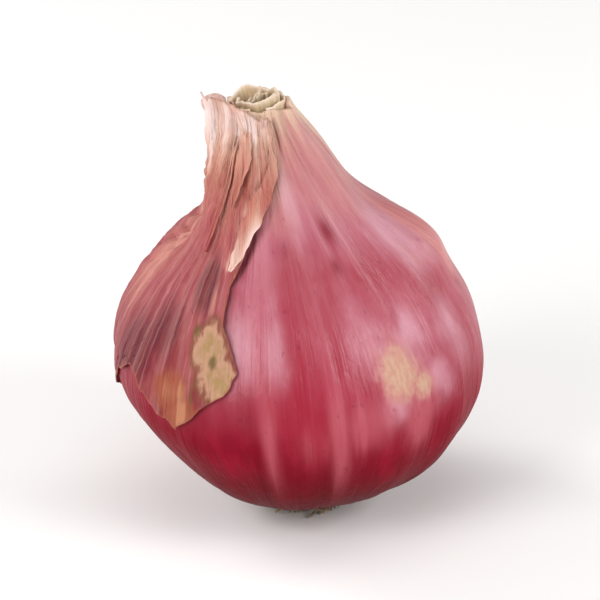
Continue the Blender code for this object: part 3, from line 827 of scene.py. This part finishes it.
def build_outer_skin(finish):
    """The dry skin: a grid between four torn edges. Each point lies on the bulb's own relief, lifted
    along the normal by a gap, crumples, the curl of its edges and the flap at the neck."""
    across = np.linspace(0, 1, SKIN_COLUMNS)[None, :]
    up = np.linspace(0, 1, SKIN_ROWS)[:, None]
    nominal = FRONT_TEAR[0][1] + (BACK_TEAR[-1][1] - FRONT_TEAR[0][1]) * across
    lowest = level_of((along_edge(LOWER_TEAR, nominal) + torn(nominal, LOWER_FRAY, 21)) * MM)
    highest = level_of((along_edge(UPPER_TEAR, nominal) + torn(nominal, UPPER_FRAY, 22)) * MM)
    level = lowest + (highest - lowest) * up
    height = turned_profile(level)[1] / MM
    front = front_edge(height[:, :1])
    back = along_edge(BACK_TEAR, height) + torn(height[:, -1], BACK_FRAY, 24)[:, None]
    angle = front + (back - front) * across
    radius, _ = turned_profile(level)
    from_sides = np.minimum(np.abs(angle - front), np.abs(angle - back)) * math.pi / 180 * radius
    length = length_at(level)
    from_ends = np.minimum(length - length_at(lowest), length_at(highest) - length)
    from_edge = np.minimum(from_sides, from_ends)
    smooth = bulb_point(angle, level)
    normal = bulb_normal(angle, level)
    flap = hump(angle_between(angle, FLAP_ANGLE), 0, FLAP_HALF_WIDTH) * smooth_step(level, 0.72, 1.0)
    curl = (1 - smooth_step(from_edge, 0, SKIN_EDGE_WIDTH)) * smooth_step(level, -0.8, -0.4)
    curl = curl * (LOW_CURL + (1 - LOW_CURL) * smooth_step(height, *CURL_HEIGHTS))
    waver = 0.65 + 0.35 * soft_field(smooth, 5.0 * MM, 31)
    crumple = sum(share * soft_field(smooth, size * MM, seed) for size, share, seed in CRUMPLES)
    crumple = crumple * (CRUMPLE_DEPTH + CRUMPLE_GROWTH * smooth_step(level, 0.3, 0.9))
    beside = hump(angle_between(angle, FRILL_ANGLE), 0, FRILL_HALF_WIDTH) * between(height, FRILL_HEIGHTS)
    frill = np.abs(np.sin(math.pi * (length / MM + 1.2 * soft_field(smooth, 7.0 * MM, 35)) / FRILL_SPACING))
    lift = SKIN_GAP + SKIN_EDGE_CURL * curl * waver + FLAP_LIFT * flap + FRILL_SIZE * beside * frill
    lift = np.maximum(lift + np.sqrt(crumple**2 + CRUMPLE_ROUNDING**2), SKIN_GAP)
    points = smooth + normal * (bulb_relief(angle, level) + lift)[..., None]
    faces = grid_faces(SKIN_ROWS, SKIN_COLUMNS, False)[:, ::-1]
    piece = make_piece("outer_skin_sheet", points, faces, finish)
    set_attribute(piece, "grain", grain_of(angle, length).reshape(-1, 3))
    metres = height * MM
    from_front = (front - angle) * math.pi / 180 * radius / MM
    turned = hump(from_front, TURNED_INSET, TURNED_HALF_WIDTH) * between(height, TURNED_HEIGHTS)
    for name, values in {
        "vein": veins(angle, level),
        "edge": 1 - smooth_step(from_edge, 0, 0.5 * MM),
        "tan": marks(angle, metres, TAN_PATCHES),
        "orange": marks(angle, metres, ORANGE_PATCHES),
        "dull": marks(angle, metres, DULL_PATCHES),
        "flecks": marks(angle, metres, DARK_FLECKS),
        # salmon, partly painted rim light
        "salmon_and_rim_light": marks(angle, metres, SALMON_AND_RIM_LIGHT_PATCHES),
        "pale": marks(angle, metres, PALE_PATCHES),
        "brown": marks(angle, metres, BROWN_FOLDS),
        "turned": turned,
    }.items():
        set_attribute(piece, name, np.broadcast_to(values, angle.shape).reshape(-1))
    give_wall(piece, SKIN_THICKNESS, 1)
    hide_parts("outer_skin")
    return piece


def strip_grid(route, half_width, rise, stand_off, seed):
    """A narrow strip of dry skin: across it is flat with raised edges, along it follows its route of
    angle and height, widest in the middle, with ragged sides, and rises from the bulb."""
    rng = np.random.default_rng(seed)
    along = np.linspace(0, 1, STRIP_ROWS)[:, None]
    side = np.linspace(-1, 1, STRIP_COLUMNS)[None, :]
    knots = np.linspace(0, 1, len(route))
    middle = np.interp(along, knots, [p[0] for p in route])
    height = np.interp(along, knots, [p[1] for p in route]) * MM
    level = level_of(height)
    radius, _ = turned_profile(level)
    width = half_width * MM * (0.08 + 0.92 * np.sin(math.pi * np.clip(0.12 + 0.88 * along, 0, 1) ** 1.5))
    width = width * (1 + 0.22 * np.interp(along, np.linspace(0, 1, 22), rng.uniform(-1, 1, 22)))
    angle = middle + np.degrees(width / radius) * side
    curl = 0.35 * MM * side**2 * (0.4 + 0.6 * np.sin(5 * along + seed) ** 2)
    risen = STRIP_START + (rise - STRIP_START) * smooth_step(along, 0, 0.3)
    lift = (risen + stand_off * along**1.5) * MM + curl
    off = bulb_relief(angle, level) + lift
    points = bulb_point(angle, level) + bulb_normal(angle, level) * off[..., None]
    return points, angle, level + 0 * side


def build_strips(finish):
    """Strips of the dry skin that have split off at the neck and stand away from the bulb."""
    grids, shades, faces, grains = [], [], [], []
    start = 0
    for number, (route, half_width, rise, stand_off, pale) in enumerate(STRIPS):
        points, angle, level = strip_grid(route, half_width, rise, stand_off, 40 + number)
        rows, columns = angle.shape
        faces.append(grid_faces(rows, columns, False) + start)
        start += rows * columns
        grids.append(points.reshape(-1, 3))
        grains.append(grain_of(angle, length_at(level)).reshape(-1, 3))
        share = np.linspace(0.25, 1, rows)[:, None] + np.zeros((1, columns))
        shades.append((pale * smooth_step(share, 0.45, 0.95)).reshape(-1))
    points = np.concatenate(grids)
    piece = make_piece("skin_strips", points, np.concatenate(faces), finish)
    nothing = np.zeros(len(points))
    set_attribute(piece, "grain", np.concatenate(grains))
    set_attribute(piece, "pale", np.concatenate(shades))
    for name in ("vein", "edge", "tan", "orange", "dull", "flecks", "salmon_and_rim_light", "brown", "turned"):
        set_attribute(piece, name, nothing)
    give_wall(piece, SKIN_THICKNESS, 1)
    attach(piece, "root")
    return piece


def build_leaf_ends(finish):
    """The dry leaf ends: open rolls round the leaning axis, each flaring and pleated, with a torn top."""
    grids, faces, grains, insides, rims = [], [], [], [], []
    start = 0
    for number, (radius, turned, sweep, top, flare) in enumerate(LEAF_ENDS):
        share = np.linspace(0, 1, LEAF_END_COLUMNS)[None, :]
        up = np.linspace(0, 1, LEAF_END_ROWS)[:, None]
        angle = turned + sweep * share
        turn = np.radians(angle)
        ragged = torn(angle, LEAF_END_FRAY, 60 + number) + 0.5 * np.sin(turn)
        height = (LEAF_END_FOOT + (top - LEAF_END_FOOT + ragged) * up) * MM
        pleats = 0.05 * np.sin(turn * 4 + number) + 0.015 * np.sin(turn * 11 + number + 2 * up)
        spread = 1 + (flare - 1) * smooth_step(height / MM, 44.5, 48.5)
        reach = radius * (1 + pleats * (0.5 + up)) + 0.3 * (share - 0.5)
        reach = reach * spread * MM
        across, along = axis_at(height)
        points = np.stack([across + reach * np.sin(turn), along - reach * np.cos(turn), height], -1)
        rows, columns = height.shape
        faces.append(grid_faces(rows, columns, False) + start)
        start += rows * columns
        grids.append(points.reshape(-1, 3))
        stretched = np.stack(np.broadcast_arrays(5 * np.sin(turn), 5 * np.cos(turn), height / MM), -1)
        grains.append(stretched.reshape(-1, 3) + 7 * number)
        # Olive tint and painted hollow shade, stronger on each roll further in
        insides.append(np.full(rows * columns, number / len(LEAF_ENDS)))
        rims.append(np.broadcast_to(smooth_step(up, 0.9, 1.0), height.shape).reshape(-1))
    piece = make_piece("dry_leaf_rolls", np.concatenate(grids), np.concatenate(faces), finish)
    set_attribute(piece, "grain", np.concatenate(grains))
    set_attribute(piece, "inside", np.concatenate(insides))
    set_attribute(piece, "rim", np.concatenate(rims))
    give_wall(piece, LEAF_END_THICKNESS, 0)
    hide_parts("neck_leaves")
    return piece


def build_root_plate(finish):
    """The root plate: a low disc with a dimpled foot, and short trimmed roots, each a tapering tube
    that leaves the plate's side and bends outwards."""
    turn = np.linspace(0, 2 * math.pi, PLATE_COLUMNS, endpoint=False)
    bumps = 1 + 0.03 * np.sin(9 * turn) + 0.02 * np.sin(17 * turn + 1)
    rings = []
    for share, height in PLATE_OUTLINE:
        reach = FOOT_RADIUS * share * np.where(share > 1, bumps, 1)
        level = np.full(PLATE_COLUMNS, height * MM)
        rings.append(np.stack([reach * np.sin(turn), -reach * np.cos(turn), level], -1))
    points = [np.concatenate(rings)]
    start = len(rings) * PLATE_COLUMNS
    faces = grid_faces(len(rings), PLATE_COLUMNS, True).tolist()
    faces.append(list(range(PLATE_COLUMNS))[::-1])
    faces.append(list(range(start - PLATE_COLUMNS, start)))
    rng = np.random.default_rng(5)
    along = np.linspace(0, 1, ROOT_RINGS)[:, None]
    spin = np.linspace(0, 2 * math.pi, ROOT_SIDES, endpoint=False)[None, :]
    for _ in range(ROOT_COUNT):
        heading = rng.uniform(0, 2 * math.pi)
        length = rng.uniform(0.9, 2.6) * MM
        low, high = rng.uniform(0.25, 0.6) * MM, rng.uniform(0.2, 0.75) * MM
        size = rng.uniform(0.09, 0.2) * MM * (1 - 0.4 * along)
        reach = PLATE_RADIUS - 0.5 * MM + length * along
        bend = heading + rng.uniform(-0.5, 0.5) * along**2
        height = low + (high - low) * along + 0.12 * MM * np.sin(4 * along + heading)
        height = np.maximum(height, size + 0.02 * MM)
        out = np.stack([np.sin(bend), -np.cos(bend)], -1)
        side = np.stack([np.cos(bend), np.sin(bend)], -1)
        flat = out * reach[..., None] + side * (size * np.cos(spin))[..., None]
        points.append(np.concatenate([flat, (height + size * np.sin(spin))[..., None]], -1).reshape(-1, 3))
        faces += (grid_faces(ROOT_RINGS, ROOT_SIDES, True) + start).tolist()
        faces.append(list(range(start, start + ROOT_SIDES))[::-1])
        start += ROOT_RINGS * ROOT_SIDES
        faces.append(list(range(start - ROOT_SIDES, start)))
    piece = make_piece("root_plate_with_roots", np.concatenate(points), faces, finish)
    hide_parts("root_plate")
    return piece


# Camera and light
CAMERA_ELEVATION = 24
CAMERA_DISTANCE = 0.9
VIEW_WIDTH = 0.066
VIEW_CENTRE = (-0.2 * MM, 0, 23.6 * MM)
SENSOR_WIDTH = 36


def aim(thing, target):
    """Turns a light or the camera so that it looks at a point."""
    away = np.array(thing.location) - np.array(target)
    flat = math.hypot(away[0], away[1])
    thing.rotation_euler = (math.atan2(flat, away[2]), 0, math.atan2(away[0], -away[1]))


def place_camera():
    """A long lens straight from the front, looking down at the camera's elevation."""
    camera = bpy.data.objects.new("camera", bpy.data.cameras.new("camera"))
    bpy.context.scene.collection.objects.link(camera)
    tilt = math.radians(CAMERA_ELEVATION)
    x, y, z = VIEW_CENTRE
    camera.location = (x, y - CAMERA_DISTANCE * math.cos(tilt), z + CAMERA_DISTANCE * math.sin(tilt))
    aim(camera, VIEW_CENTRE)
    camera.data.sensor_width = SENSOR_WIDTH
    camera.data.lens = SENSOR_WIDTH * CAMERA_DISTANCE / VIEW_WIDTH
    bpy.context.scene.camera = camera


# Soft boxes, each as azimuth (0 is the camera's side, positive is to the right), elevation,
# distance in m, width and height in m, and power in W
SOFT_BOXES = {
    "front_left_box": (-42, 31, 0.40, 0.20, 0.20, 0.90),
    "right_box": (60, 29, 0.40, 0.20, 0.20, 0.90),
    "back_left_box": (-122, 30, 0.40, 0.14, 0.24, 0.80),
    "back_right_box": (128, 22, 0.40, 0.14, 0.16, 0.35),
    "overhead_box": (-10, 80, 0.50, 0.40, 0.40, 0.50),
}
ROOM_BRIGHTNESS = 0.22


def light_the_scene():
    """White soft boxes over and beside the onion, in a bright plain room."""
    for name, (azimuth, elevation, distance, width, height, power) in SOFT_BOXES.items():
        light = bpy.data.lights.new(name, "AREA")
        light.shape = "RECTANGLE"
        light.size, light.size_y = width, height
        light.energy = power
        box = bpy.data.objects.new(name, light)
        bpy.context.scene.collection.objects.link(box)
        round_it, rise = math.radians(azimuth), math.radians(elevation)
        flat = distance * math.cos(rise)
        box.location = (flat * math.sin(round_it), -flat * math.cos(round_it), distance * math.sin(rise))
        aim(box, VIEW_CENTRE)
    world = bpy.data.worlds.new("bright_room")
    bpy.context.scene.world = world
    world.use_nodes = True
    background = world.node_tree.nodes["Background"]
    background.inputs["Color"].default_value = (1.0, 1.0, 1.0, 1.0)
    background.inputs["Strength"].default_value = ROOM_BRIGHTNESS


def lay_floor():
    """A wide plain pale surface."""
    made, _, shader = new_material("white_surface")
    shader.inputs["Base Color"].default_value = srgb("#fbfaf9")
    shader.inputs["Roughness"].default_value = 0.7
    half = 4.0
    corners = np.array([(-half, -half, 0), (half, -half, 0), (half, half, 0), (-half, half, 0)])
    floor = make_piece("floor", corners, [(0, 1, 2, 3)], made)


def main():
    bpy.context.scene.view_settings.view_transform = "Standard"
    skin = dry_skin()
    pieces = [
        build_bulb(fresh_scale_skin()),
        build_outer_skin(skin),
        build_leaf_ends(dry_leaf_paper()),
        build_root_plate(dry_root()),
    ]
    for piece in pieces:
        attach(piece, "root")
    build_strips(skin)
    lay_floor()
    place_camera()
    light_the_scene()


main()
